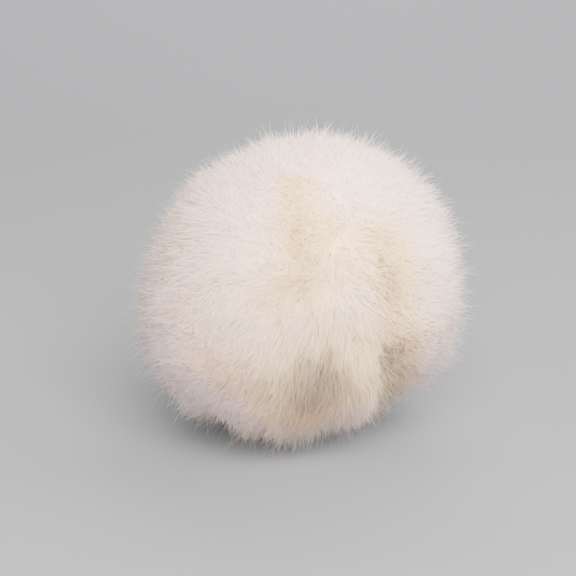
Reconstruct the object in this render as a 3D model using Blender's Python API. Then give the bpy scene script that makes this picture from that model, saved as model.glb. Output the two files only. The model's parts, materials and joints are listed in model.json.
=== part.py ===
"""A fur pom pom: one soft ball of long pile, lying on a small flat spot.

The solid reaches as far as the dense ends of the pile do. Its shape is a slightly wide ball that broad
swells, narrow partings and the ends of the tufts make uneven. Run it with
blender --background --python part.py, or from Blender's text editor. Metres, +Z up, front towards -Y.
"""

import math

import bmesh
import bpy
from mathutils import Matrix, Vector

# Driving sizes of the ball over its pile, in metres.
WIDTH = 0.112
DEPTH = 0.1095
HEIGHT = 0.105
REST_SPOT_DEPTH = 0.0016
ROUND_STEPS = 5

# The ring is the ball's outline as it faces the front, tipped back by this angle. Bearings run round it
# from 0 at the right, through 90 at the crown.
RING_TILT = math.radians(18)

# Broad swells and flats of the pile: bearing round the ring, how far the middle lies in front of the ring,
# how far it spreads, all in degrees, and how far the pile rises there, in metres.
SWELLS = (
    # name, bearing, forward, spread, rise
    ("lower left bulge", 217, 4, 25, 0.0046),
    ("upper left flat", 158, 0, 18, -0.0042),
    ("crown flat", 112, 0, 20, -0.0042),
    ("lower right flat", 303, 6, 15, -0.0026),
    ("upper right shoulder", 36, 0, 16, 0.0014),
    ("right cheek", 336, 6, 13, 0.0026),
    ("brow", 84, 38, 20, 0.0012),
    ("chin", 262, 40, 18, 0.0014),
    ("back swell", 25, -58, 28, 0.0022),
    ("back hollow", 170, -50, 24, -0.0018),
)

# Partings, where the pile falls to either side of a line: both ends as bearing and degrees in front of the
# ring, the half width in degrees, and the depth in metres.
PARTINGS = (
    # name, bearing, forward, end bearing, end forward, half width, depth
    ("right fold", 322, 50, 317, 24, 6.5, 0.0034),
    ("chin fold", 284, 52, 282, 16, 5.5, 0.0024),
    ("left notch", 241, 16, 240, -8, 4.5, 0.0030),
    ("crown dimple", 100, 62, 150, 84, 7.0, 0.0016),
    ("back fold", 60, -30, 110, -62, 6.5, 0.0026),
    ("side fold", 200, -34, 238, -52, 6.0, 0.0024),
)

# Tufts are spread evenly by the golden angle, and each ends a little further out than the gaps between. The
# shortest tuft's rise is a share of the longest one's, and the rhythm sets how the lengths follow each other.
TUFTS = 150
TUFT_SPREAD = math.radians(3.8)
TUFT_RISE = 0.0011
TUFT_REACH = math.radians(22)
TUFT_SHORTEST = 0.25
TUFT_RHYTHM = 2.4

FUR_COLOUR = (0.90, 0.84, 0.76, 1.0)
FUR_ROUGHNESS = 0.85


def ring_direction(bearing, forward):
    """The unit direction at a bearing round the ring and degrees in front of it."""
    across = Vector((1, 0, 0))
    up = Vector((0, math.sin(RING_TILT), math.cos(RING_TILT)))
    front = across.cross(up)
    turn, lean = math.radians(bearing), math.radians(forward)
    on_ring = across * math.cos(turn) + up * math.sin(turn)
    return on_ring * math.cos(lean) + front * math.sin(lean)


def golden_directions(count):
    """Unit directions spread evenly over a sphere by the golden angle."""
    golden_angle = math.pi * (3 - math.sqrt(5))
    for index in range(count):
        height = 1 - (2 * index + 1) / count
        ring = math.sqrt(1 - height * height)
        turn = index * golden_angle
        yield Vector((ring * math.cos(turn), ring * math.sin(turn), height))


def soft(angle, spread):
    """A smooth hump: 1 at no angle, falling away over the spread."""
    return math.exp(-0.5 * (angle / spread) ** 2)


def angle_to_arc(direction, start, end):
    """The angle from a direction to the nearest point of the great arc from start to end."""
    pole = start.cross(end).normalized()
    nearest = (direction - pole * direction.dot(pole)).normalized()
    inside = start.cross(nearest).dot(pole) > 0 and nearest.cross(end).dot(pole) > 0
    if inside:
        return direction.angle(nearest)
    return min(direction.angle(start), direction.angle(end))


def swell_rise(direction):
    """How far the broad swells raise the pile in a direction."""
    return sum(
        rise * soft(direction.angle(ring_direction(bearing, forward)), math.radians(spread))
        for _, bearing, forward, spread, rise in SWELLS
    )


def parting_depth(direction):
    """How far the partings let the pile down in a direction."""
    deepest = 0.0
    for _, bearing, forward, end_bearing, end_forward, half_width, depth in PARTINGS:
        start = ring_direction(bearing, forward)
        end = ring_direction(end_bearing, end_forward)
        angle = angle_to_arc(direction, start, end)
        deepest = max(deepest, depth * soft(angle, math.radians(half_width)))
    return deepest


def tuft_rise(direction, tufts):
    """How far the nearest tuft's end stands out in a direction. Neighbouring tufts are unlike in length."""
    rise = 0.0
    for index, tuft in enumerate(tufts):
        angle = direction.angle(tuft)
        if angle < TUFT_REACH:
            long = (1 + math.sin(index * TUFT_RHYTHM)) / 2
            share = TUFT_SHORTEST + (1 - TUFT_SHORTEST) * long
            rise = max(rise, TUFT_RISE * share * soft(angle, TUFT_SPREAD))
    return rise


def shape_pile(ball):
    """Moves each point of a unit ball out to the ends of the pile."""
    tufts = list(golden_directions(TUFTS))
    half_sizes = Vector((WIDTH / 2, DEPTH / 2, (HEIGHT + REST_SPOT_DEPTH) / 2))
    for point in ball.verts:
        direction = point.co.normalized()
        even = direction * half_sizes
        extra = swell_rise(direction) - parting_depth(direction) + tuft_rise(direction, tufts)
        point.co = even + direction * extra


def fit_box(ball):
    """Scales the ball to its driving sizes and puts the middle of its box over the origin."""
    for axis, size in enumerate((WIDTH, DEPTH, HEIGHT + REST_SPOT_DEPTH)):
        low = min(point.co[axis] for point in ball.verts)
        high = max(point.co[axis] for point in ball.verts)
        below = size / 2 if axis < 2 else REST_SPOT_DEPTH
        for point in ball.verts:
            point.co[axis] = (point.co[axis] - low) * size / (high - low) - below


def cut_rest_spot(ball):
    """Cuts the ball off flat at the surface that it lies on."""
    cut = bmesh.ops.bisect_plane(
        ball,
        geom=ball.verts[:] + ball.edges[:] + ball.faces[:],
        plane_co=(0, 0, 0),
        plane_no=(0, 0, -1),
        clear_outer=True,
    )
    rim = [item for item in cut["geom_cut"] if isinstance(item, bmesh.types.BMEdge)]
    bmesh.ops.contextual_create(ball, geom=rim)
    bmesh.ops.recalc_face_normals(ball, faces=ball.faces[:])


def fur_material():
    """The ivory fur's plain material."""
    material = bpy.data.materials.new("ivory_fur")
    material.use_nodes = True
    shader = material.node_tree.nodes["Principled BSDF"]
    shader.inputs["Base Color"].default_value = FUR_COLOUR
    shader.inputs["Roughness"].default_value = FUR_ROUGHNESS
    shader.inputs["Metallic"].default_value = 0.0
    return material


def make_pom_pom(collection):
    """The whole ball of pile as one solid."""
    ball = bmesh.new()
    bmesh.ops.create_icosphere(ball, subdivisions=ROUND_STEPS, radius=1.0, matrix=Matrix.Identity(4))
    shape_pile(ball)
    fit_box(ball)
    cut_rest_spot(ball)
    mesh = bpy.data.meshes.new("pom_pom")
    ball.to_mesh(mesh)
    ball.free()
    mesh.materials.append(fur_material())
    mesh.shade_smooth()
    pom_pom = bpy.data.objects.new("pom_pom", mesh)
    collection.objects.link(pom_pom)
    return pom_pom


def main():
    """Clears the scene and builds the pom pom in a collection of its own."""
    for leftover in list(bpy.data.objects):
        bpy.data.objects.remove(leftover)
    parts = bpy.data.collections.new("fur_pom_pom")
    bpy.context.scene.collection.children.link(parts)
    make_pom_pom(parts)


main()
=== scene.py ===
"""The looks of a fur pom pom: a dense undercoat, the pile laid strand by strand in locks and tufts, the
guard hairs that stand out of it, and a plain studio. Metres, +Z up, front towards -Y."""
import json
import logging
import math
from abc import ABC, abstractmethod
from dataclasses import dataclass, field, replace
from enum import Enum

import bpy
import numpy as np
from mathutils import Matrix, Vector
from mathutils.bvhtree import BVHTree
from mathutils.kdtree import KDTree

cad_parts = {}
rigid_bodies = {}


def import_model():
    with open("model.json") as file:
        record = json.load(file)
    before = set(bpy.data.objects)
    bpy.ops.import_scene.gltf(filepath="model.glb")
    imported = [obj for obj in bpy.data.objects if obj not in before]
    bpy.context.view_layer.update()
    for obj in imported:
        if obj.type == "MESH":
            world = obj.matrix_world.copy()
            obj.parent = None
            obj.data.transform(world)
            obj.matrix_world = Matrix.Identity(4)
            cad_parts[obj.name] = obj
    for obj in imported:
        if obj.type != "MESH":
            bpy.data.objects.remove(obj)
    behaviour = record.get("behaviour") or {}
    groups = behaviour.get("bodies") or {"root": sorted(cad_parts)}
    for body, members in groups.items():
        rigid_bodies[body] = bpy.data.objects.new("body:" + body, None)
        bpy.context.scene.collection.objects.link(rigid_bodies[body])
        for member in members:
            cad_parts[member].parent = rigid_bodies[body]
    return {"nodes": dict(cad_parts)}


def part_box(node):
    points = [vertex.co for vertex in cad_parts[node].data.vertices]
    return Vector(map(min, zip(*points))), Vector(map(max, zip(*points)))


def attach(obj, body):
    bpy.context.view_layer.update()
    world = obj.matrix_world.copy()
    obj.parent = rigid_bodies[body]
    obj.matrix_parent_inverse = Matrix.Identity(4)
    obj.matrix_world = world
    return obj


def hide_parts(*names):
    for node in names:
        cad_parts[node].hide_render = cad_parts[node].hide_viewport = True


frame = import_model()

LOG = logging.getLogger("pom_pom")

BODY = "root"
NODE = "pom_pom"
STRAND_MAP = "OFBake"

# Everything random comes from this seed, in branches: the comb, the locks, the topcoat and underfur
# together, and the guard hairs.
SEED = 20240

# The ball faces the front tipped back by this angle. Bearings run round its outline, 0 at the right and 90
# at the crown, and a place is a bearing with degrees in front of the outline.
RING_TILT = math.radians(18)

# A vector shorter than this has no direction.
TINY = 1e-6

Colour = tuple[float, float, float]
Place = tuple[float, float, float]
Rows = np.ndarray
Random = np.random.Generator
Tree = bpy.types.NodeTree
Socket = bpy.types.NodeSocket


class Sector(Enum):
    """The six sides that the pile is parted into, each with the way that it faces."""

    CROWN = (0, 0, 1)
    FOOT = (0, 0, -1)
    FRONT = (0, -1, 0)
    BACK = (0, 1, 0)
    LEFT = (-1, 0, 0)
    RIGHT = (1, 0, 0)


def unit(vectors: Rows) -> Rows:
    """Vectors at length one.

    Args:
        vectors: one vector, or a row for each.

    Returns:
        The same vectors, each of length one.
    """
    return vectors / np.maximum(np.linalg.norm(vectors, axis=-1, keepdims=True), TINY)


def dots(first: Rows, second: Rows) -> Rows:
    """The dot product of each row with its partner, as a column."""
    return (first * second).sum(axis=-1, keepdims=True)


def along_surface(directions: Rows, vectors: Rows) -> Rows:
    """The part of each vector that lies along the ball's surface.

    Args:
        directions: unit directions from the ball's middle.
        vectors: what is to be laid along the surface there.

    Returns:
        The vectors without their part along the directions.
    """
    return vectors - directions * dots(directions, vectors)


def hump(distance: Rows, spread: float) -> Rows:
    """A smooth hump, 1 at no distance and falling away over the spread."""
    return np.exp(-0.5 * (distance / spread) ** 2)


def ease(values: Rows, low: float, high: float) -> Rows:
    """A smooth step from 0 at low to 1 at high."""
    share = np.clip((values - low) / (high - low), 0.0, 1.0)
    return share * share * (3 - 2 * share)


def place_on_ball(bearing: float, forward: float) -> Rows:
    """The unit direction of a place on the ball.

    Args:
        bearing: degrees round the outline, 0 at the right and 90 at the crown.
        forward: degrees in front of the outline.

    Returns:
        The direction from the ball's middle.
    """
    up = np.array((0.0, math.sin(RING_TILT), math.cos(RING_TILT)))
    across = np.array((1.0, 0.0, 0.0))
    front = np.cross(across, up)
    turn = math.radians(bearing)
    lean = math.radians(forward)
    on_outline = across * math.cos(turn) + up * math.sin(turn)
    return on_outline * math.cos(lean) + front * math.sin(lean)


def degrees_from(directions: Rows, bearing: float, forward: float) -> Rows:
    """The angle in degrees between each direction and one place on the ball, as a column."""
    return np.degrees(np.arccos(np.clip(dots(directions, place_on_ball(bearing, forward)), -1.0, 1.0)))


def spacing(count: int) -> float:
    """The distance between neighbours of so many directions spread evenly over the ball, in radians."""
    return math.sqrt(4 * math.pi / count)


def golden_directions(count: int, unevenness: float, rng: Random) -> Rows:
    """Unit directions spread over the ball by the golden angle, each moved a little.

    Args:
        count: how many.
        unevenness: the move, as a share of the distance between neighbours.
        rng: where the moves come from.

    Returns:
        A row for each direction.
    """
    golden_angle = math.pi * (3 - math.sqrt(5))
    index = np.arange(count)
    height = 1 - (2 * index + 1) / count
    ring = np.sqrt(1 - height**2)
    turn = index * golden_angle
    even = np.column_stack((ring * np.cos(turn), ring * np.sin(turn), height))
    return unit(even + rng.normal(size=even.shape) * spacing(count) * unevenness)


def nearest(directions: Rows, places: Rows) -> Rows:
    """Finds the nearest of some places to each direction.

    Args:
        directions: a row for each direction.
        places: a row for each place.

    Returns:
        The index of a place for each direction.
    """
    tree = KDTree(len(places))
    for index, place in enumerate(places):
        tree.insert(place, index)
    tree.balance()
    return np.fromiter((tree.find(direction)[1] for direction in directions), int, len(directions))


@dataclass
class SoftNoise:
    """A smooth random vector all over the ball, each part of it a sum of a few crossing waves.

    The pitch is the rough distance from hump to hump, in radians round the ball. The span brings most of
    the sums between -1 and 1.
    """

    pitch: float
    rng: Random
    count: int = 14
    unevenness: float = 0.4
    span: float = 1.6
    waves: list[Rows] = field(init=False, default_factory=list)
    starts: list[Rows] = field(init=False, default_factory=list)

    def __post_init__(self) -> None:
        """Draws the waves for the vector's three parts."""
        for _ in range(3):
            ways = unit(self.rng.normal(size=(self.count, 3)))
            lengths = self.rng.uniform(1 - self.unevenness, 1 + self.unevenness, (self.count, 1))
            self.waves.append(ways * lengths * 2 * math.pi / self.pitch)
            self.starts.append(self.rng.uniform(0, 2 * math.pi, self.count))

    def at(self, directions: Rows) -> Rows:
        """The vector at some directions.

        Args:
            directions: a row for each place on the ball.

        Returns:
            A row for each vector.
        """
        parts = [
            np.sin(directions @ waves.T + starts).sum(axis=1, keepdims=True)
            for waves, starts in zip(self.waves, self.starts)
        ]
        return np.hstack(parts) * math.sqrt(2 / self.count) / self.span


@dataclass
class Envelope:
    """How far the dense ends of the pile reach from the ball's middle, in every direction.

    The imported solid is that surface, so its radius is read once on a grid of rows and columns.
    """

    node: bpy.types.Object
    rows: int = 120
    columns: int = 240
    heart: Rows = field(init=False)
    low: Rows = field(init=False)
    high: Rows = field(init=False)
    reach: Rows = field(init=False)

    def __post_init__(self) -> None:
        """Finds the middle of the node's box and the reach on every grid point."""
        low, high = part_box(self.node.name)
        self.low = np.array(low)
        self.high = np.array(high)
        self.heart = (self.low + self.high) / 2
        mesh = self.node.data
        points = [vertex.co.copy() for vertex in mesh.vertices]
        sides = [tuple(polygon.vertices) for polygon in mesh.polygons]
        tree = BVHTree.FromPolygons(points, sides)
        middle = Vector(self.heart)
        self.reach = np.zeros((self.rows + 1, self.columns))
        for row in range(self.rows + 1):
            fall = math.pi * row / self.rows
            for column in range(self.columns):
                turn = 2 * math.pi * column / self.columns
                out = math.sin(fall)
                way = Vector((out * math.cos(turn), out * math.sin(turn), math.cos(fall)))
                self.reach[row, column] = tree.ray_cast(middle, way)[3]

    def radius(self, directions: Rows) -> Rows:
        """The reach in some directions.

        Args:
            directions: a row for each unit direction.

        Returns:
            The distance from the ball's middle to the dense ends of the pile, as a column.
        """
        fall = np.arccos(np.clip(directions[:, 2], -1, 1)) / math.pi * self.rows
        turn = np.arctan2(directions[:, 1], directions[:, 0]) / (2 * math.pi) * self.columns
        row = np.clip(np.floor(fall).astype(int), 0, self.rows - 1)
        column = np.floor(turn).astype(int)
        down = fall - row
        over = turn - column
        here = column % self.columns
        after = (column + 1) % self.columns
        top = self.reach[row, here] * (1 - over) + self.reach[row, after] * over
        bottom = self.reach[row + 1, here] * (1 - over) + self.reach[row + 1, after] * over
        return (top * (1 - down) + bottom * down)[:, None]


@dataclass(frozen=True)
class Patch:
    """A soft round patch on the ball, with its middle's bearing and degrees forward, and its spread."""

    bearing: float
    forward: float
    spread: float

    def near(self, directions: Rows) -> Rows:
        """How near each direction is to the patch's middle, from 0 to 1, as a column."""
        return hump(degrees_from(directions, self.bearing, self.forward), self.spread)


@dataclass(frozen=True)
class Line:
    """A stretch of a great circle on the ball, from one place to another."""

    bearing: float
    forward: float
    end_bearing: float
    end_forward: float

    def leave(self, directions: Rows) -> tuple[Rows, Rows]:
        """How to go straight away from the line.

        Args:
            directions: a row for each place on the ball.

        Returns:
            The unit vector along the surface that leads away from the line, and the angle in radians to
            the line, as a column.
        """
        start = place_on_ball(self.bearing, self.forward)
        end = place_on_ball(self.end_bearing, self.end_forward)
        pole = unit(np.cross(start, end))
        foot = unit(directions - pole * dots(directions, pole))
        inside = (dots(np.cross(start, foot), pole) > 0) & (dots(np.cross(foot, end), pole) > 0)
        closer_end = np.where(dots(directions, start) > dots(directions, end), start, end)
        foot = np.where(inside, foot, closer_end)
        away = unit(along_surface(directions, directions - foot))
        return away, np.arccos(np.clip(dots(directions, foot), -1, 1))


@dataclass(frozen=True)
class Parting:
    """A line on the ball that the pile falls away from, sinks along and changes its tone along.

    The half width and the push are in degrees. The depth is a share of the pile's reach. The warmth is a
    change of tone: painted shade that darkens and warms the pile along the line, and below 0 painted light
    that pales it.
    """

    name: str
    line: Line
    half_width: float
    push: float
    depth: float
    warmth: float

    def fall(self, directions: Rows) -> tuple[Rows, Rows]:
        """How the pile falls beside the line.

        Args:
            directions: a row for each place on the ball.

        Returns:
            The lean away from the line, along the surface, with its angle in radians as its length, and
            how near the line each place is, from 0 to 1, as a column.
        """
        away, distance = self.line.leave(directions)
        share = distance / math.radians(self.half_width)
        lean = math.radians(self.push) * share * np.exp((1 - share**2) / 2)
        return away * lean, hump(share, 1.0)


@dataclass
class Comb:
    """How the pile lies everywhere on the ball: which way, how far it leans, how deep, and in what tone."""

    rng: Random
    # The pile falls away from the crown line, by degrees, and less and less towards the back.
    crown: Line = Line(88, 52, 60, 80)
    crown_lean: float = 1.8
    crown_rise: float = 26
    back_fade: tuple[float, float] = (30, 80)
    back_calm: float = 0.8
    # Below the fan place it is combed down round the droop line, by degrees.
    fan_place: tuple[float, float] = (60, 63)
    fan_rise: tuple[float, float] = (4, 42)
    fan_fade: tuple[float, float] = (70, 112)
    fan_calm: float = 0.75
    droop: Line = Line(350, 80, 272, -6)
    droop_spreads: tuple[float, float] = (12, 20)
    droop_edge: tuple[float, float] = (0.1, 1.6)
    droop_lean: float = 8.0
    droop_stir: float = 0.3
    # It sways, curls and is ruffled, by degrees, at pitches in radians.
    sway: float = 1.4
    sway_pitch: float = 0.75
    curl: float = 0.9
    curl_pitch: float = 0.28
    ruffle: float = 3.9
    ruffle_pitch: float = 0.15
    ruffled: Patch = Patch(30, 77, 8.5)
    most_lean: float = 24
    # It stands loose where it isn't combed, less so at the outline and where it is ruffled.
    cloudiness: float = 0.9
    rim_span: tuple[float, float] = (5, 22)
    rim_order: float = 0.8
    ruffle_order: float = 0.5
    # The undercoat ends this far out, as a share of the pile's reach, and lower where the pile is combed.
    undercoat_reach: float = 0.92
    combed_depth: float = 0.032
    rim_depth: float = 0.07
    # The tone is paler at the crown and the right, with a painted highlight at the upper right, and warmer
    # and darker in the middle, partly the fur's own cream and partly painted shade, and at the chin, where
    # it is painted shade.
    tone: float = 0.865
    middle: Patch = Patch(290, 78, 25.78)
    middle_cream_and_shade: float = 0.18
    chin: Patch = Patch(275, 30, 22.92)
    chin_painted_shade: float = 0.06
    # Each parting's last number, its warmth, is painted shade that darkens and warms the tone along its
    # hollows, folds, creases and dimples, most in the right and chin hollows; below 0 it is painted light.
    partings: tuple[Parting, ...] = (
        Parting("right fold", Line(321, 45, 306, 25), 3.6, 0.6, 0.080, 0.24),
        Parting("right hollow", Line(322, 34, 308, 13), 7.5, 0.8, 0.075, 0.76),
        Parting("right side", Line(340, 55, 327, 45), 6.0, 0.4, 0.008, 0.26),
        Parting("chin hollow", Line(282, 55, 278, 41), 9.0, 0.8, 0.088, 0.98),
        Parting("chin band", Line(248, 44, 258, 38), 6.0, 0.5, 0.030, 0.20),
        Parting("crown crease", Line(90, 54, 93, 69), 4.0, 1.2, 0.012, 0.46),
        Parting("brow dimple", Line(90, 77, 53, 85), 4.5, 0.8, 0.021, 0.42),
        Parting("cheek dimple", Line(201, 76, 194, 89), 3.0, 1.0, 0.012, 0.26),
        Parting("temple hollow", Line(27, 56, 3, 57), 6.0, 0.6, 0.026, 0.62),
        Parting("crown dimple", Line(59, 67, 50, 70), 5.0, 0.8, 0.014, 0.30),
        Parting("jowl", Line(224, 43, 230, 43), 5.5, 0.4, 0.010, 0.20),
        Parting("jowl foot", Line(226, 30, 231, 35), 5.5, 0.4, 0.026, 0.06),
        # These two are painted highlights: a paler, cooler tone, with no rise in the pile.
        Parting("cheek painted highlight", Line(209, 58, 203, 74), 6.5, 0.0, 0.000, -0.07),
        Parting("crown painted highlight", Line(62, 50, 50, 58), 7.0, 0.0, 0.000, -0.06),
        Parting("left notch", Line(241, 16, 240, -8), 4.5, 5.0, 0.030, 0.20),
        Parting("lower rim", Line(206, 2, 300, 2), 13.0, 0.0, 0.022, 0.00),
        # The lower fringe's tone is painted light: paler and cooler along the lower outline, as if lit from
        # below.
        Parting("lower fringe painted light", Line(206, 20, 324, 20), 9.0, 0.0, 0.000, -0.24),
        Parting("back fold", Line(60, -30, 110, -62), 6.5, 6.0, 0.030, 0.14),
        Parting("side fold", Line(200, -34, 238, -52), 6.0, 6.0, 0.030, 0.14),
    )
    sways: SoftNoise = field(init=False)
    curls: SoftNoise = field(init=False)
    ruffles: SoftNoise = field(init=False)

    def __post_init__(self) -> None:
        """Draws the noise that sways the pile."""
        self.sways = SoftNoise(self.sway_pitch, self.rng)
        self.curls = SoftNoise(self.curl_pitch, self.rng)
        self.ruffles = SoftNoise(self.ruffle_pitch, self.rng)

    def lean(self, directions: Rows) -> Rows:
        """The lean of the pile.

        Args:
            directions: a row for each place on the ball.

        Returns:
            A vector along the surface for each place. Its length is the angle in radians, round the
            ball, from a hair's root to its tip.
        """
        away, from_crown = self.crown.leave(directions)
        rise = 1 - np.exp(-from_crown / math.radians(self.crown_rise))
        fade = 1 - self.back_calm * ease(np.degrees(from_crown), *self.back_fade)
        total = away * math.radians(self.crown_lean) * rise * fade

        combed = self.combed(directions)
        from_fan = degrees_from(directions, *self.fan_place)
        down = unit(along_surface(directions, directions - place_on_ball(*self.fan_place)))
        grown = ease(from_fan, *self.fan_rise) * (1 - self.fan_calm * ease(from_fan, *self.fan_fade))
        total = total + down * math.radians(self.droop_lean) * combed * grown

        loose = self.sways.at(directions) * math.radians(self.sway)
        loose = loose + self.curls.at(directions) * math.radians(self.curl)
        ruffle = self.ruffles.at(directions) * math.radians(self.ruffle) * self.ruffled.near(directions)
        total = total + along_surface(directions, loose * (1 + self.droop_stir * combed) + ruffle)

        for parting in self.partings:
            total = total + parting.fall(directions)[0]

        length = np.linalg.norm(total, axis=1, keepdims=True)
        most = math.radians(self.most_lean)
        return total * np.where(length > most, most / np.maximum(length, TINY), 1.0)

    def combed(self, directions: Rows) -> Rows:
        """How much the pile lies combed down in long streaks.

        Args:
            directions: a row for each place on the ball.

        Returns:
            A share from 0 to 1, as a column.
        """
        narrow, wide = self.droop_spreads
        spread = narrow + (wide - narrow) * ease(degrees_from(directions, *self.fan_place), *self.fan_rise)
        return 1 - ease(np.degrees(self.droop.leave(directions)[1]) / spread, *self.droop_edge)

    def rim(self, directions: Rows) -> Rows:
        """How near each place is to the outline, from 0 to 1, as a column."""
        return 1 - ease(np.abs(90 - degrees_from(directions, 0, 90)), *self.rim_span)

    def cloudy(self, directions: Rows) -> Rows:
        """How far the pile stands loose, with no locks to see.

        Args:
            directions: a row for each place on the ball.

        Returns:
            A share from 0 to 1, as a column.
        """
        inside = 1 - self.rim_order * self.rim(directions)
        smooth = 1 - self.ruffle_order * self.ruffled.near(directions)
        return self.cloudiness * (1 - self.combed(directions)) * smooth * inside

    def sunk(self, directions: Rows) -> Rows:
        """How far the pile's ends lie sunk in its partings, as a share of its reach, as a column."""
        return np.max([parting.fall(directions)[1] * parting.depth for parting in self.partings], axis=0)

    def undercoat(self, directions: Rows) -> Rows:
        """How far out the undercoat reaches.

        Args:
            directions: a row for each place on the ball.

        Returns:
            A share of the whole pile's reach, as a column.
        """
        combed = self.combed_depth * self.combed(directions)
        lower = np.maximum(combed, self.rim_depth * self.rim(directions))
        return self.undercoat_reach - lower - self.sunk(directions)

    def tones(self, directions: Rows) -> Rows:
        """The broad tone of the pile, with painted shade and painted light in it.

        Args:
            directions: a row for each place on the ball.

        Returns:
            A tone from 0, warm, to 1, cool, as a column.
        """
        # The partings' warmth is painted shade along their hollows, and painted light where it is below 0.
        painted_shade_and_light = np.sum([parting.fall(directions)[1] * parting.warmth for parting in self.partings], axis=0)
        # The middle's warmth is partly the fur's own cream and partly painted shade; the chin's is painted
        # shade under the ball.
        middle = self.middle_cream_and_shade * self.middle.near(directions)
        chin = self.chin_painted_shade * self.chin.near(directions)
        return self.tone - middle - chin - painted_shade_and_light


def set_inputs(tree: Tree, node: bpy.types.Node, inputs: dict[str | int, object]) -> None:
    """Fills in a shader node.

    Args:
        tree: the material's node tree.
        node: the node.
        inputs: for each input, the socket to link to it, or the constant to set on it.
    """
    for name, value in inputs.items():
        if isinstance(value, Socket):
            tree.links.new(value, node.inputs[name])
        else:
            node.inputs[name].default_value = value


def add_node(tree: Tree, kind: str, inputs: dict[str | int, object], **settings: object) -> bpy.types.Node:
    """Adds a shader node and fills it in.

    Args:
        tree: the material's node tree.
        kind: the node's type, as Blender names it after "ShaderNode".
        inputs: for each input, the socket to link to it, or the constant to set on it.
        **settings: the node's own settings.

    Returns:
        The node.
    """
    node = tree.nodes.new(f"ShaderNode{kind}")
    for name, value in settings.items():
        setattr(node, name, value)
    set_inputs(tree, node, inputs)
    return node


@dataclass(frozen=True)
class FurFinish:
    """Ivory fur. A strand's colour runs from root to tip, and its tone picks from warm to cool."""

    name: str = "ivory_fur"
    # The tones run from a dark brown, which is painted shade for the deepest hollows, through warm straw and
    # cream to a cool pinkish white.
    tone_stops: tuple[float, ...] = (0.0, 0.35, 0.7, 1.0)
    # Roots are darker and warmer than tips: partly the fur's own warmer roots, partly painted shade of the
    # depth in the pile.
    root_colours: tuple[Colour, ...] = (
        (0.46, 0.36, 0.29),
        (0.84, 0.66, 0.48),
        (0.91, 0.75, 0.65),
        (0.93, 0.835, 0.83),
    )
    tip_colours: tuple[Colour, ...] = (
        (0.71, 0.58, 0.475),
        (0.94, 0.78, 0.61),
        (0.95, 0.82, 0.74),
        (0.95, 0.875, 0.875),
    )
    root_end: float = 0.15
    tip_start: float = 0.85
    root_roughness: float = 0.85
    tip_roughness: float = 0.62
    specular: float = 0.18
    sheen: float = 0.15
    sheen_roughness: float = 0.45
    through: float = 0.65
    band_scale: float = 7.0
    band_detail: float = 2.0
    band_stretch: float = 9.0
    band_strength: float = 0.10

    def ramp(self, tree: Tree, colours: tuple[Colour, ...], source: Socket) -> Socket:
        """A colour ramp over the tones.

        Args:
            tree: the material's node tree.
            colours: a colour for each tone stop.
            source: what picks the tone.

        Returns:
            The ramp's colour.
        """
        node = add_node(tree, "ValToRGB", {"Fac": source})
        elements = node.color_ramp.elements
        while len(elements) < len(colours):
            elements.new(0.5)
        for element, stop, colour in zip(elements, self.tone_stops, colours):
            element.position = stop
        for element, colour in zip(elements, colours):
            element.color = (*colour, 1.0)
        return node.outputs["Color"]

    def material(self) -> bpy.types.Material:
        """Builds the material on the strands' own map: tone across it, root to tip up it.

        Returns:
            The material.
        """
        material = bpy.data.materials.new(self.name)
        material.use_nodes = True
        tree = material.node_tree
        tree.nodes.clear()
        place = add_node(tree, "UVMap", {}, uv_map=STRAND_MAP).outputs["UV"]
        split = add_node(tree, "SeparateXYZ", {"Vector": place})
        tone = split.outputs["X"]
        along = split.outputs["Y"]
        shades = {
            "Factor": self.tip_share(tree, place, along),
            "A": self.ramp(tree, self.root_colours, tone),
            "B": self.ramp(tree, self.tip_colours, tone),
        }
        colour = add_node(tree, "Mix", shades, data_type="RGBA").outputs["Result"]
        ends = {"Value": along, "To Min": self.root_roughness, "To Max": self.tip_roughness}
        gloss = {
            "Base Color": colour,
            "Roughness": add_node(tree, "MapRange", ends).outputs["Result"],
            "Specular IOR Level": self.specular,
            "Sheen Weight": self.sheen,
            "Sheen Roughness": self.sheen_roughness,
        }
        surface = add_node(tree, "BsdfPrincipled", gloss).outputs["BSDF"]
        glow = add_node(tree, "BsdfTranslucent", {"Color": colour}).outputs["BSDF"]
        mix = add_node(tree, "MixShader", {"Fac": self.through, 1: surface, 2: glow})
        add_node(tree, "OutputMaterial", {"Surface": mix.outputs["Shader"]})
        return material

    def tip_share(self, tree: Tree, place: Socket, along: Socket) -> Socket:
        """How much of the tip's colour shows, with faint bands across the strands.

        Args:
            tree: the material's node tree.
            place: the strands' map.
            along: the way from root to tip.

        Returns:
            The share, from 0 at the root to 1 at the tip.
        """
        ends = {"Value": along, "From Min": self.root_end, "From Max": self.tip_start}
        fade = add_node(tree, "MapRange", ends, interpolation_type="SMOOTHSTEP")
        stretch = add_node(tree, "Mapping", {"Vector": place, "Scale": (self.band_stretch, 1.0, 1.0)})
        streaks = {"Vector": stretch.outputs["Vector"], "Scale": self.band_scale, "Detail": self.band_detail}
        bands = add_node(tree, "TexNoise", streaks, noise_dimensions="2D").outputs["Fac"]
        span = {"Value": bands, "To Min": -self.band_strength, "To Max": self.band_strength}
        mottle = add_node(tree, "MapRange", span)
        both = {0: fade.outputs["Result"], 1: mottle.outputs["Result"]}
        return add_node(tree, "Math", both, operation="ADD", use_clamp=True).outputs["Value"]


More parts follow.
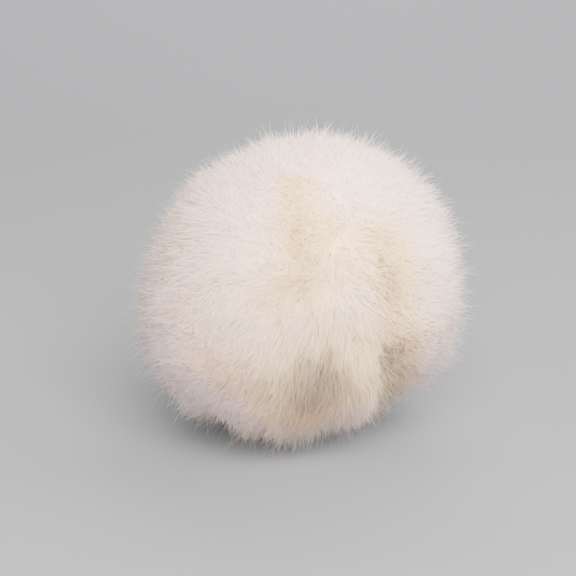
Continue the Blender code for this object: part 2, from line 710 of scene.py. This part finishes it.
@dataclass(frozen=True)
class MattFinish:
    """A matt surface on object coordinates, its colour drifting between two tones in soft clouds."""

    name: str
    deep: Colour
    pale: Colour
    roughness: float
    cloud_scale: float
    cloud_detail: float = 2.0
    specular: float = 0.1

    def material(self) -> bpy.types.Material:
        """Builds the material.

        Returns:
            The material.
        """
        material = bpy.data.materials.new(self.name)
        material.use_nodes = True
        tree = material.node_tree
        place = add_node(tree, "TexCoord", {}).outputs["Object"]
        drift = {"Vector": place, "Scale": self.cloud_scale, "Detail": self.cloud_detail}
        clouds = add_node(tree, "TexNoise", drift).outputs["Fac"]
        shades = {"Factor": clouds, "A": (*self.deep, 1.0), "B": (*self.pale, 1.0)}
        inputs = {
            "Base Color": add_node(tree, "Mix", shades, data_type="RGBA").outputs["Result"],
            "Roughness": self.roughness,
            "Specular IOR Level": self.specular,
        }
        relief = self.relief(tree, place)
        if relief is not None:
            inputs["Normal"] = relief
        set_inputs(tree, tree.nodes["Principled BSDF"], inputs)
        return material

    def relief(self, tree: Tree, place: Socket) -> Socket | None:
        """The bumped normal, or none on a smooth surface."""
        return None


@dataclass(frozen=True)
class UndercoatFinish(MattFinish):
    """The dense warm fuzz between the roots of the pile."""

    name: str = "ivory_undercoat"
    # The fuzz's warm beige is its own colour, darkened with painted shade so that it looks as deep in shade
    # as the strands round it.
    deep: Colour = (0.80, 0.69, 0.62)
    pale: Colour = (0.88, 0.79, 0.75)
    roughness: float = 0.92
    cloud_scale: float = 70.0
    cloud_detail: float = 4.0
    fuzz_scale: float = 900.0
    fuzz_detail: float = 3.0
    bump: float = 0.5
    bump_height: float = 0.0006

    def relief(self, tree: Tree, place: Socket) -> Socket | None:
        """The fine fuzz.

        Args:
            tree: the material's node tree.
            place: the object coordinates.

        Returns:
            The bumped normal.
        """
        grain = {"Vector": place, "Scale": self.fuzz_scale, "Detail": self.fuzz_detail}
        fuzz = add_node(tree, "TexNoise", grain).outputs["Fac"]
        height = {"Strength": self.bump, "Distance": self.bump_height, "Height": fuzz}
        return add_node(tree, "Bump", height).outputs["Normal"]


@dataclass(frozen=True)
class FloorFinish(MattFinish):
    """Plain pale matt paper, faintly uneven."""

    name: str = "pale_paper"
    deep: Colour = (0.1552, 0.16102, 0.16684)
    pale: Colour = (0.16, 0.166, 0.172)
    roughness: float = 0.9
    cloud_scale: float = 3.0


def start_piece(name: str) -> bpy.types.Object:
    """Names the primitive that was just added.

    Args:
        name: the piece's name.

    Returns:
        The primitive's object.
    """
    piece = bpy.context.active_object
    piece.name = name
    piece.data.name = name
    return piece


def clear_selection() -> None:
    """Deselects every object and leaves none active."""
    for item in bpy.context.view_layer.objects:
        item.select_set(False)
    bpy.context.view_layer.objects.active = None


def select_points(piece: bpy.types.Object, low: float, high: float) -> None:
    """Selects a mesh's points between two heights, from object mode, and enters edit mode.

    Args:
        piece: the mesh object.
        low: the lowest height selected.
        high: the highest height selected.
    """
    bpy.ops.object.mode_set(mode="EDIT")
    bpy.ops.mesh.select_mode(type="VERT")
    bpy.ops.mesh.select_all(action="DESELECT")
    bpy.ops.object.mode_set(mode="OBJECT")
    for vertex in piece.data.vertices:
        vertex.select = low <= vertex.co.z <= high
    bpy.ops.object.mode_set(mode="EDIT")


@dataclass
class StrandModel:
    """One strand, modelled once, its root at the origin and its tip at height one, then laid many times.

    It is a spindle: thin at its root, full along its belly and fine at its tip. Its half width is one.
    """

    name: str
    rows: tuple[float, ...]
    fullness: tuple[float, ...]
    points: Rows = field(init=False)
    sides: list[tuple[int, ...]] = field(init=False)

    def __post_init__(self) -> None:
        """Models the strand, reads its mesh and removes it."""
        clear_selection()
        bpy.ops.mesh.primitive_plane_add(size=1.0, location=(0, 0, 0.5), rotation=(math.pi / 2, 0, 0))
        bpy.ops.transform.resize(value=(2.0, 1.0, 1.0), center_override=(0, 0, 0.5))
        model = start_piece(self.name)
        bpy.ops.object.transform_apply(location=True, rotation=True, scale=True)
        self.cut_rows()
        self.taper(model)
        self.points = np.array([vertex.co for vertex in model.data.vertices], float)
        self.sides = [tuple(polygon.vertices) for polygon in model.data.polygons]
        bpy.data.objects.remove(model)

    def cut_rows(self) -> None:
        """Cuts the strand across at its inner rows."""
        for row in self.rows[1:-1]:
            bpy.ops.object.mode_set(mode="EDIT")
            bpy.ops.mesh.select_all(action="SELECT")
            bpy.ops.mesh.bisect(plane_co=(0, 0, row), plane_no=(0, 0, 1))
            bpy.ops.object.mode_set(mode="OBJECT")

    def taper(self, model: bpy.types.Object) -> None:
        """Draws each row in to its fullness, and ends of no width to a point.

        Args:
            model: the strand's object.
        """
        near = 0.01
        for row, full in zip(self.rows, self.fullness):
            select_points(model, row - near, row + near)
            if full == 0:
                bpy.ops.mesh.merge(type="CENTER")
            else:
                bpy.ops.transform.resize(value=(full, full, 1.0), center_override=(0, 0, row))
            bpy.ops.object.mode_set(mode="OBJECT")


@dataclass
class Strands:
    """Many strands as arrays, a row for each: where they start and end, how they bend, and their tone.

    Roots and tips are unit directions from the ball's middle, with a radius for each.
    """

    root: Rows
    tip: Rows
    root_radius: Rows
    tip_radius: Rows
    half_width: Rows
    facing: Rows
    rounding: Rows
    wave: Rows
    tone: Rows
    turn_power: float = 1.35
    rise_power: float = 1.35

    ROWS = ("root", "tip", "root_radius", "tip_radius", "half_width", "facing", "rounding", "wave", "tone")

    def chosen(self, mask: Rows) -> "Strands":
        """The strands that a mask picks.

        Args:
            mask: true for each strand to keep.

        Returns:
            Those strands alone.
        """
        return replace(self, **{name: getattr(self, name)[mask] for name in self.ROWS})

    def direction(self, along: float) -> Rows:
        """The unit direction from the ball's middle to a point of each strand.

        Args:
            along: the point's share of the way from root to tip.

        Returns:
            A row for each strand.
        """
        turned = along**self.turn_power
        swing = self.wave * math.sin(math.pi * along)
        return unit(self.root * (1 - turned) + self.tip * turned + swing)

    def radius(self, along: float) -> Rows:
        """The distance from the ball's middle to a point of each strand, as a column."""
        risen = 1 - (1 - along) ** self.rise_power
        return self.root_radius + (self.tip_radius - self.root_radius) * risen


@dataclass
class StrandLayer:
    """Lays strands as one joined mesh, in the shape of a modelled strand."""

    model: StrandModel
    envelope: Envelope
    material: bpy.types.Material
    # How far a normal leans with the lock's roundness, how much of that at the root, and with the blade.
    roundness: float = 0.30
    root_roundness: float = 0.4
    face_share: float = 0.06
    # How much the tone differs across a strand, and how far the map stays off its own edge.
    tone_width: float = 0.006
    map_edge: float = 0.002
    # The pile stops this far above the floor, packed within the spread, and this far out of the ball's box.
    floor_gap: float = 0.0003
    floor_spread: float = 0.0011
    loose_reach: float = 0.0062

    def lay(self, name: str, strands: Strands) -> bpy.types.Object:
        """Makes one piece of many strands.

        Args:
            name: the piece's name.
            strands: the strands to lay.

        Returns:
            The piece, with its strand map, its material and soft normals.
        """
        heart = self.envelope.heart
        base = heart + strands.direction(0) * strands.radius(0)
        end = heart + strands.direction(1) * strands.radius(1)
        chord = unit(end - base)
        side = unit(np.cross(chord, strands.facing))
        face = np.cross(side, chord)

        points = np.zeros((len(strands.root), len(self.model.points), 3))
        normals = np.zeros_like(points)
        for index, (across, _, along) in enumerate(self.model.points):
            way = strands.direction(along)
            at = heart + way * strands.radius(along)
            points[:, index] = at + side * across * strands.half_width
            round_share = self.root_roundness + (1 - self.root_roundness) * along
            soft = way + strands.rounding * self.roundness * round_share
            normals[:, index] = unit(soft + face * self.face_share)
        self.settle(points)
        mesh = self.joined(name, points)
        self.map_tones(mesh, strands.tone)
        mesh.normals_split_custom_set_from_vertices(normals.reshape(-1, 3))
        mesh.materials.append(self.material)
        piece = bpy.data.objects.new(name, mesh)
        bpy.context.scene.collection.objects.link(piece)
        return piece

    def settle(self, points: Rows) -> None:
        """Keeps every point above the floor and near the ball's box, in place.

        Args:
            points: strand by point by coordinate.
        """
        packed = self.floor_gap + self.floor_spread
        height = points[..., 2]
        below = np.minimum(height - packed, 0)
        pressed = self.floor_gap + self.floor_spread * np.exp(below / self.floor_spread)
        points[..., 2] = np.where(height < packed, pressed, height)
        low = self.envelope.low - (self.loose_reach, self.loose_reach, 0)
        np.clip(points, low, self.envelope.high + self.loose_reach, out=points)

    def joined(self, name: str, points: Rows) -> bpy.types.Mesh:
        """Joins the strands' points into one mesh.

        Args:
            name: the mesh's name.
            points: strand by point by coordinate.

        Returns:
            The mesh.
        """
        count, size = points.shape[:2]
        corners = np.concatenate([np.array(side) for side in self.model.sides])
        starts = np.arange(count)[:, None]
        loop_points = (corners[None, :] + starts * size).ravel()
        side_lengths = np.tile([len(side) for side in self.model.sides], count)
        side_starts = np.concatenate(([0], np.cumsum(side_lengths)[:-1]))

        mesh = bpy.data.meshes.new(name)
        mesh.vertices.add(count * size)
        mesh.vertices.foreach_set("co", points.reshape(-1).astype(np.float32))
        mesh.loops.add(len(loop_points))
        mesh.loops.foreach_set("vertex_index", loop_points.astype(np.int32))
        mesh.polygons.add(len(side_starts))
        mesh.polygons.foreach_set("loop_start", side_starts.astype(np.int32))
        mesh.polygons.foreach_set("loop_total", side_lengths.astype(np.int32))
        mesh.polygons.foreach_set("use_smooth", np.ones(len(side_starts), bool))
        mesh.update(calc_edges=True)
        return mesh

    def map_tones(self, mesh: bpy.types.Mesh, tone: Rows) -> None:
        """Gives a mesh of strands its map: tone across it, root to tip up it.

        Args:
            mesh: the strands' mesh.
            tone: each strand's tone, as a column.
        """
        corners = np.concatenate([np.array(side) for side in self.model.sides])
        uv = np.zeros((len(tone), len(corners), 2))
        uv[..., 0] = tone + self.model.points[corners, 0][None, :] * self.tone_width
        uv[..., 1] = self.model.points[corners, 2][None, :]
        uv = np.clip(uv, self.map_edge, 1 - self.map_edge)
        layer = mesh.uv_layers.new(name=STRAND_MAP)
        layer.data.foreach_set("uv", uv.reshape(-1).astype(np.float32))


@dataclass(frozen=True)
class Gathering:
    """One size of bunch that the pile gathers in: how many there are and how much they differ.

    The unevenness is a share of the distance between neighbours, the swing is in degrees, and the length
    is a share of the pile's reach.
    """

    count: int
    unevenness: float
    swing: float
    length: float
    tone: float

    def places(self, rng: Random) -> Rows:
        """Where the bunches have their roots."""
        return golden_directions(self.count, self.unevenness, rng)

    def swings(self, rng: Random) -> Rows:
        """A random swing for each bunch, in radians."""
        return rng.normal(size=(self.count, 3)) * math.radians(self.swing)

    def column(self, rng: Random, size: float | Rows) -> Rows:
        """A random value of that size for each bunch, as a column."""
        return rng.normal(size=(self.count, 1)) * size

    def half_spacing(self) -> float:
        """Half the distance between neighbours, in radians."""
        return spacing(self.count) / 2


@dataclass
class Locks:
    """The locks that the pile gathers in, and the wisps and tufts that the locks gather in.

    A lock is a few strands that lean together and meet towards their tips. Where the pile is combed, it
    gathers more and differs more in length. Where it is cloudy, it gathers and differs less.
    """

    comb: Comb
    rng: Random
    locks: Gathering = Gathering(20000, 0.30, 1.9, 0.010, 0.045)
    wisps: Gathering = Gathering(3000, 0.30, 3.0, 0.018, 0.070)
    tufts: Gathering = Gathering(420, 0.22, 2.6, 0.010, 0.040)
    combed_swing: float = 0.4
    cloudy_swing: float = 0.75
    tuft_follow: float = 0.6
    tuft_pull: float = 0.14
    combed_pull: float = 0.20
    cloudy_pull: float = 0.7
    wisp_pull: float = 0.50
    combed_length: float = 0.014
    cloudy_calm: float = 0.8
    gathered: float = 0.44
    combed_gather: float = 0.24
    cloudy_gather: float = 0.40
    gather_spread: float = 0.14
    most_gathered: float = 0.88
    root: Rows = field(init=False)
    tip: Rows = field(init=False)
    tuft: Rows = field(init=False)
    tuft_root: Rows = field(init=False)
    wisp: Rows = field(init=False)
    length: Rows = field(init=False)
    tone: Rows = field(init=False)
    gather: Rows = field(init=False)
    cloudy: Rows = field(init=False)
    rim: Rows = field(init=False)

    def __post_init__(self) -> None:
        """Places the locks, gathers them in tufts and wisps, and draws how each differs."""
        self.root = self.locks.places(self.rng)
        self.tuft_root = self.tufts.places(self.rng)
        self.tuft = nearest(self.root, self.tuft_root)
        combed = self.comb.combed(self.root)
        self.cloudy = self.comb.cloudy(self.root)
        self.rim = self.comb.rim(self.root)
        self.lean_tips(combed)
        self.vary(combed)

    def leaned(self, root: Rows, shift: Rows) -> Rows:
        """Where bunches with some roots end, shifted from the pile's own lean."""
        return unit(root + self.comb.lean(root) + shift)

    def lean_tips(self, combed: Rows) -> None:
        """Leans the locks as the pile lies, each with a swing of its own, and pulls their tips together.

        Args:
            combed: how much the pile is combed at each lock.
        """
        calm = 1 - self.cloudy_swing * self.comb.cloudy(self.tuft_root)
        swing = along_surface(self.tuft_root, self.tufts.swings(self.rng) * calm)
        tuft_tip = self.leaned(self.tuft_root, swing)
        tuft_shift = (tuft_tip - self.tuft_root - self.comb.lean(self.tuft_root))[self.tuft]

        stir = 1 + self.combed_swing * combed - self.cloudy_swing * self.cloudy
        swing = along_surface(self.root, self.locks.swings(self.rng) * stir)
        tip = self.leaned(self.root, self.tuft_follow * tuft_shift + swing)
        pull = self.tuft_pull + (self.combed_pull - self.tuft_pull) * combed
        pull = pull * (1 - self.cloudy_pull * self.cloudy)
        tip = unit(tip + (tuft_tip[self.tuft] - tip) * pull)

        wisp_root = self.wisps.places(self.rng)
        self.wisp = nearest(self.root, wisp_root)
        swing = along_surface(wisp_root, self.wisps.swings(self.rng))
        wisp_tip = self.leaned(wisp_root, swing)
        pull = self.wisp_pull * (1 - self.cloudy / self.comb.cloudiness)
        self.tip = unit(tip + (wisp_tip[self.wisp] - tip) * pull)

    def vary(self, combed: Rows) -> None:
        """Draws each lock's own length and tone, and how far it is gathered.

        Args:
            combed: how much the pile is combed at each lock.
        """
        rng = self.rng
        calm = 1 - self.cloudy_calm * self.cloudy
        tuft_length = self.tufts.column(rng, self.tufts.length)
        wisp_length = self.wisps.column(rng, self.wisps.length)
        lock_length = self.locks.column(rng, self.locks.length + self.combed_length * combed)
        self.length = (tuft_length[self.tuft] + wisp_length[self.wisp] + lock_length) * calm
        tuft_tone = self.tufts.column(rng, self.tufts.tone)
        wisp_tone = self.wisps.column(rng, self.wisps.tone)
        lock_tone = self.locks.column(rng, self.locks.tone)
        self.tone = tuft_tone[self.tuft] + (wisp_tone[self.wisp] + lock_tone) * calm
        gather = self.gathered + self.combed_gather * combed - self.cloudy_gather * self.cloudy
        gather = gather + self.locks.column(rng, self.gather_spread)
        self.gather = np.clip(gather, 0.0, self.most_gathered)


@dataclass
class Coat(ABC):
    """Many strands of one kind, laid all over the ball.

    The rows and the fullness shape one strand. The jitter and the wave are in degrees, and the turning is
    how unevenly the strands face. Half widths are in metres, and reaches are shares of the pile's own.
    """

    envelope: Envelope
    comb: Comb
    locks: Locks
    material: bpy.types.Material
    rng: Random
    kind: str
    rows: tuple[float, ...]
    fullness: tuple[float, ...]
    count: int
    half_width: float
    jitter: float
    wave: float
    unevenness: float = 0.35
    width_range: tuple[float, float] = (0.7, 1.3)
    turning: float = 0.6
    tone_spread: float = 0.07
    tone_limits: tuple[float, float] = (0.03, 0.97)

    @abstractmethod
    def strands(self) -> Strands:
        """Lays out the strands."""

    def roots(self) -> Rows:
        """The strands' roots, spread evenly."""
        return golden_directions(self.count, self.unevenness, self.rng)

    def noise(self, size: float | Rows, parts: int = 3) -> Rows:
        """A random row of that size for each strand, of so many parts."""
        return self.rng.normal(size=(self.count, parts)) * size

    def widths(self) -> Rows:
        """A half width for each strand, as a column."""
        return self.half_width * self.rng.uniform(*self.width_range, (self.count, 1))

    def waves(self, root: Rows) -> Rows:
        """A sideways wave for each strand."""
        return along_surface(root, self.noise(math.radians(self.wave)))

    def root_radius(self, root: Rows) -> Rows:
        """How far from the ball's middle the strands leave the undercoat, as a column."""
        return self.envelope.radius(root) * self.comb.undercoat(root)

    def build(self) -> None:
        """Makes the coat's pieces, one for each sector."""
        strands = self.strands()
        ways = np.array([sector.value for sector in Sector], float)
        nearest_way = np.argmax(strands.root @ ways.T, axis=1)
        layer = self.layer()
        for index, sector in enumerate(Sector):
            self.lay(layer, f"{self.kind}_{sector.name.lower()}", strands.chosen(nearest_way == index))

    def layer(self) -> StrandLayer:
        """What lays the strands, with this coat's own strand."""
        model = StrandModel(f"{self.kind}_strand", self.rows, self.fullness)
        return StrandLayer(model, self.envelope, self.material)

    def lay(self, layer: StrandLayer, name: str, strands: Strands) -> None:
        """Makes one piece that rides on the ball.

        Args:
            layer: what lays the strands.
            name: the piece's name.
            strands: the strands to lay.
        """
        piece = layer.lay(name, strands)
        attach(piece, BODY)
        LOG.info("%s: %d strands", name, len(strands.root))


@dataclass
class Topcoat(Coat):
    """The long strands, gathered in their locks. Some stray from them."""

    kind: str = "top"
    rows: tuple[float, ...] = (0.0, 0.36, 0.74, 1.0)
    fullness: tuple[float, ...] = (0, 1.0, 0.8, 0)
    count: int = 132000
    half_width: float = 0.000058
    jitter: float = 1.1
    wave: float = 0.7
    turning: float = 0.40
    stray_share: float = 0.22
    stray_jitter: float = 3.0
    reach: float = 0.978
    cloudy_fall: float = 0.026
    rim_fall: float = 0.036
    lock_fall: float = 0.016
    lock_edge: float = 1.6
    reach_spread: float = 0.018
    cloudy_spread: float = 0.016
    rim_spread: float = 0.028
    least_reach: float = 0.84
    most_reach: float = 1.045
    rim_reach: float = 0.045
    cloudy_tone: float = 0.04
    lock_rounding: float = 0.4
    tuft_rounding: float = 0.3
    cloudy_rounding: float = 0.8
    cloudy_width: float = 1.2
    cloudy_turning: float = 0.28
    cloudy_wave: float = 0.5

    def strands(self) -> Strands:
        """Lays out the long strands.

        Returns:
            The strands.
        """
        root = self.roots()
        lock = nearest(root, self.locks.root)
        offset = root - self.locks.root[lock]
        stray = self.rng.random((self.count, 1)) < self.stray_share
        spread = np.where(stray, 1.0, 1 - self.locks.gather[lock])
        jitter = self.noise(math.radians(self.jitter)) * np.where(stray, self.stray_jitter, 1.0)
        tip = unit(self.locks.tip[lock] + offset * spread + jitter)
        cloudy = self.locks.cloudy[lock]
        reach = self.reaches(root, lock, offset)
        tone = self.comb.tones(root) + self.locks.tone[lock]
        tone = tone + self.noise(self.tone_spread - self.cloudy_tone * cloudy, 1)
        return Strands(
            root=root,
            tip=tip,
            root_radius=self.root_radius(root),
            tip_radius=self.envelope.radius(tip) * reach,
            half_width=self.widths() * (1 + self.cloudy_width * cloudy),
            facing=root + self.noise(self.turning - self.cloudy_turning * cloudy),
            rounding=self.rounding(root, lock, offset),
            wave=self.waves(root) * (1 - self.cloudy_wave * cloudy),
            tone=np.clip(tone, *self.tone_limits),
        )

    def reaches(self, root: Rows, lock: Rows, offset: Rows) -> Rows:
        """How far out the strands reach: less at a lock's edge, in partings and at the outline.

        Args:
            root: the strands' roots.
            lock: the index of each strand's lock.
            offset: from the lock's root to the strand's.

        Returns:
            The reach, as a share of the pile's own, as a column.
        """
        cloudy = self.locks.cloudy[lock]
        rim = self.locks.rim[lock]
        out = np.linalg.norm(offset, axis=1, keepdims=True) / self.locks.locks.half_spacing()
        edge = np.clip(out, 0, self.lock_edge) ** 2 * (1 - cloudy)
        reach = self.reach - self.cloudy_fall * cloudy + self.locks.length[lock] - self.lock_fall * edge
        reach = reach - self.rim_fall * rim - self.comb.sunk(root)
        spread = self.reach_spread + self.cloudy_spread * cloudy + self.rim_spread * rim
        reach = reach + self.noise(spread, 1)
        return np.clip(reach, self.least_reach, self.most_reach + self.rim_reach * rim)

    def rounding(self, root: Rows, lock: Rows, offset: Rows) -> Rows:
        """How the strands' normals lean out of their lock and tuft, so that each looks round.

        Args:
            root: the strands' roots.
            lock: the index of each strand's lock.
            offset: from the lock's root to the strand's.

        Returns:
            A row for each strand.
        """
        tuft_offset = root - self.locks.tuft_root[self.locks.tuft[lock]]
        in_lock = offset / self.locks.locks.half_spacing() * self.lock_rounding
        in_tuft = tuft_offset / self.locks.tufts.half_spacing() * self.tuft_rounding
        return (in_lock + in_tuft) * (1 - self.cloudy_rounding * self.locks.cloudy[lock])


@dataclass
class Underfur(Coat):
    """The short strands that fill between the locks."""

    kind: str = "under"
    rows: tuple[float, ...] = (0.0, 0.45, 1.0)
    fullness: tuple[float, ...] = (0, 1.0, 0)
    count: int = 140000
    half_width: float = 0.000085
    jitter: float = 4.5
    wave: float = 1.2
    lean_share: float = 0.75
    reach_range: tuple[float, float] = (0.90, 0.96)
    rim_fall: float = 0.045
    warmth: float = 0.08
    rounding: float = 2
    cloudy_width: float = 0.6

    def strands(self) -> Strands:
        """Lays out the short strands.

        Returns:
            The strands.
        """
        root = self.roots()
        cloudy = self.comb.cloudy(root)
        jitter = self.noise(math.radians(self.jitter))
        tip = unit(root + self.comb.lean(root) * self.lean_share + jitter)
        reach = self.rng.uniform(*self.reach_range, (self.count, 1)) - self.comb.sunk(root)
        reach = reach - self.rim_fall * self.comb.rim(root)
        tone = self.comb.tones(root) - self.warmth * (1 - cloudy) + self.noise(self.tone_spread, 1)
        return Strands(
            root=root,
            tip=tip,
            root_radius=self.root_radius(root),
            tip_radius=self.envelope.radius(tip) * reach,
            half_width=self.widths() * (1 + self.cloudy_width * cloudy),
            facing=root + self.noise(self.turning),
            rounding=jitter * self.rounding,
            wave=self.waves(root),
            tone=np.clip(tone, *self.tone_limits),
        )


@dataclass
class GuardHairs(Coat):
    """The long fine hairs that stand out of the pile, a few of them far out."""

    kind: str = "guard"
    rows: tuple[float, ...] = (0.0, 0.40, 0.75, 1.0)
    fullness: tuple[float, ...] = (0, 1.0, 0.6, 0)
    count: int = 30000
    half_width: float = 0.000058
    jitter: float = 1.0
    wave: float = 0.3
    unevenness: float = 0.5
    width_range: tuple[float, float] = (0.75, 1.25)
    tone_spread: float = 0.08
    stray_share: float = 0.12
    stray_jitter: float = 3.0
    gather: float = 0.55
    lock_swing: float = 1.6
    lock_lift: float = 0.016
    lift_limits: tuple[float, float] = (-0.03, 0.04)
    reach_range: tuple[float, float] = (0.90, 1.055)
    stray_range: tuple[float, float] = (1.00, 1.13)
    bend_power: float = 1.1

    def strands(self) -> Strands:
        """Lays out the guard hairs.

        Returns:
            The hairs.
        """
        rng = self.rng
        column = (self.count, 1)
        root = self.roots()
        stray = rng.random(column) < self.stray_share
        lock = nearest(root, self.locks.root)
        offset = root - self.locks.root[lock]
        jitter = self.noise(math.radians(self.jitter)) * np.where(stray, self.stray_jitter, 1.0)
        swing = rng.normal(size=self.locks.root.shape) * math.radians(self.lock_swing)
        tip = unit(self.locks.tip[lock] + swing[lock] + offset * (1 - self.gather) + jitter)
        lift = self.locks.locks.column(rng, self.lock_lift)
        reach = rng.uniform(*self.reach_range, column) + np.clip(lift[lock], *self.lift_limits)
        reach = np.where(stray, rng.uniform(*self.stray_range, column), reach) - self.comb.sunk(root)
        return Strands(
            root=root,
            tip=tip,
            root_radius=self.root_radius(root),
            tip_radius=self.envelope.radius(tip) * reach,
            half_width=self.widths(),
            facing=root + self.noise(self.turning),
            rounding=jitter,
            wave=self.waves(root),
            tone=np.clip(self.comb.tones(root) + self.noise(self.tone_spread, 1), *self.tone_limits),
            turn_power=self.bend_power,
            rise_power=self.bend_power,
        )

    def build(self) -> None:
        """Makes the guard hairs as one piece."""
        strands = self.strands()
        self.lay(self.layer(), "guard_hairs", strands)


@dataclass
class Undercoat:
    """The dense fuzz that the pile stands on: a closed ball with a soft relief of locks."""

    envelope: Envelope
    locks: Locks
    finish: UndercoatFinish
    comb: Comb
    roundness: int = 6
    settled: float = 0.004
    relief: float = 0.006
    lock_spread: float = 0.032

    def build(self) -> None:
        """Makes the undercoat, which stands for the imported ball, from a ball shaped to the pile's form."""
        clear_selection()
        bpy.ops.mesh.primitive_ico_sphere_add(
            subdivisions=self.roundness, radius=1.0, location=tuple(self.envelope.heart)
        )
        piece = start_piece("undercoat_ball")
        bpy.ops.object.transform_apply(location=True, rotation=True, scale=True)
        mesh = piece.data
        points = np.zeros(len(mesh.vertices) * 3)
        mesh.vertices.foreach_get("co", points)
        ways = unit(points.reshape(-1, 3) - self.envelope.heart)
        points = self.envelope.heart + ways * self.envelope.radius(ways) * self.share(ways)
        mesh.vertices.foreach_set("co", points.reshape(-1))
        mesh.update()
        bpy.ops.object.shade_smooth()
        mesh.materials.append(self.finish.material())
        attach(piece, BODY)
        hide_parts(NODE)
        LOG.info("undercoat_ball: %d points", len(mesh.vertices))

    def share(self, ways: Rows) -> Rows:
        """How far out the ball reaches: highest in the middle of each lock.

        Args:
            ways: a row for each direction.

        Returns:
            A share of the pile's own reach, as a column.
        """
        lock = nearest(ways, self.locks.root)
        apart = np.linalg.norm(ways - self.locks.root[lock], axis=1, keepdims=True)
        swell = self.relief * (hump(apart, self.lock_spread) - 0.5)
        return self.comb.undercoat(ways) - self.settled + swell


@dataclass(frozen=True)
class Lamp:
    """A soft square light, placed and aimed from the ball's middle. Its power is in watts."""

    name: str
    place: Place
    size: float
    power: float
    colour: Colour
    aim: Place = (0.0, 0.0, 0.0)
    spread: float = math.pi

    def add(self, heart: Rows) -> None:
        """Adds the light.

        Args:
            heart: the ball's middle.
        """
        data = bpy.data.lights.new(self.name, "AREA")
        data.shape = "SQUARE"
        data.size = self.size
        data.energy = self.power
        data.color = self.colour
        data.spread = self.spread
        lamp = bpy.data.objects.new(self.name, data)
        lamp.location = Vector(heart) + Vector(self.place)
        lamp.rotation_euler = (Vector(self.aim) - Vector(self.place)).to_track_quat("-Z", "Y").to_euler()
        bpy.context.scene.collection.objects.link(lamp)


@dataclass
class Studio:
    """A round pale stage, soft lights and the camera."""

    heart: Rows
    finish: FloorFinish
    floor_radius: float = 1.7
    floor_sides: int = 128
    wall_height: float = 1.5
    corner: float = 1.2
    corner_steps: int = 24
    lens: float = 85
    sensor: float = 36
    nearest_seen: float = 0.01
    distance: float = 0.46
    elevation: float = 18
    aim_right: float = 0.00355
    aim_up: float = 0.0012
    lamps: tuple[Lamp, ...] = (
        Lamp("key", (0.18, -0.96, 0.68), 1.0, 84.0, (1.0, 0.955, 0.935)),
        Lamp("fill", (-1.00, -0.25, 0.34), 0.4, 1.22, (1.0, 0.97, 0.96), spread=math.pi / 2),
        Lamp("side", (1.00, -0.10, 0.42), 0.5, 2.55, (1.0, 0.97, 0.96), spread=math.pi / 2),
        Lamp("back", (0.45, 0.35, 1.00), 0.8, 9.5, (1.0, 0.98, 0.96)),
        Lamp("backdrop", (0.0, 0.95, 1.10), 0.9, 26.0, (1.0, 1.0, 1.0), aim=(0.0, 1.35, 0.0)),
    )
    world_colour: Colour = (0.95, 0.97, 1.0)
    world_strength: float = 0.20

    def build(self) -> None:
        """Makes the stage, the lights, the world and the camera."""
        self.stage()
        for lamp in self.lamps:
            lamp.add(self.heart)
        self.world()
        self.camera()

    def stage(self) -> None:
        """Makes the floor, which curves up into a wall all round."""
        clear_selection()
        bpy.ops.mesh.primitive_circle_add(
            vertices=self.floor_sides, radius=self.floor_radius, fill_type="NGON"
        )
        floor = start_piece("stage_floor")
        bpy.ops.object.mode_set(mode="EDIT")
        bpy.ops.mesh.select_mode(type="EDGE")
        bpy.ops.mesh.select_all(action="SELECT")
        bpy.ops.mesh.extrude_edges_move(TRANSFORM_OT_translate={"value": (0, 0, self.wall_height)})
        bpy.ops.object.mode_set(mode="OBJECT")
        low = 0.001
        for edge in floor.data.edges:
            edge.select = all(floor.data.vertices[index].co.z < low for index in edge.vertices)
        for side in floor.data.polygons:
            side.select = False
        bpy.ops.object.mode_set(mode="EDIT")
        bpy.ops.mesh.bevel(offset=self.corner, segments=self.corner_steps)
        bpy.ops.mesh.select_all(action="SELECT")
        bpy.ops.mesh.normals_make_consistent(inside=True)
        bpy.ops.object.mode_set(mode="OBJECT")
        bpy.ops.object.shade_smooth()
        floor.data.materials.append(self.finish.material())

    def world(self) -> None:
        """Sets the soft light from all round."""
        world = bpy.data.worlds.new("studio")
        world.use_nodes = True
        background = world.node_tree.nodes["Background"]
        background.inputs["Color"].default_value = (*self.world_colour, 1.0)
        background.inputs["Strength"].default_value = self.world_strength
        bpy.context.scene.world = world
        bpy.context.scene.view_settings.view_transform = "Filmic"

    def camera(self) -> None:
        """Sets the camera in front of the ball and above it."""
        data = bpy.data.cameras.new("camera")
        data.lens = self.lens
        data.sensor_width = self.sensor
        data.clip_start = self.nearest_seen
        camera = bpy.data.objects.new("camera", data)
        lift = math.radians(self.elevation)
        back = Vector((0, -math.cos(lift), math.sin(lift)))
        up = Vector((0, math.sin(lift), math.cos(lift)))
        target = Vector(self.heart) - Vector((1, 0, 0)) * self.aim_right - up * self.aim_up
        camera.location = target + back * self.distance
        camera.rotation_euler = (-back).to_track_quat("-Z", "Y").to_euler()
        bpy.context.scene.collection.objects.link(camera)
        bpy.context.scene.camera = camera


def main() -> None:
    """Builds the pom pom's pieces in order and then the studio."""
    logging.basicConfig(level=logging.INFO, format="%(name)s %(message)s")
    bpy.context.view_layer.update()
    envelope = Envelope(frame["nodes"][NODE])
    comb = Comb(np.random.default_rng(SEED))
    locks = Locks(comb, np.random.default_rng(SEED + 1))
    fur = FurFinish().material()
    Undercoat(envelope, locks, UndercoatFinish(), comb).build()
    pile = np.random.default_rng(SEED + 2)
    Topcoat(envelope, comb, locks, fur, pile).build()
    Underfur(envelope, comb, locks, fur, pile).build()
    GuardHairs(envelope, comb, locks, fur, np.random.default_rng(SEED + 3)).build()
    Studio(envelope.heart, FloorFinish()).build()


if __name__ == "__main__":
    main()
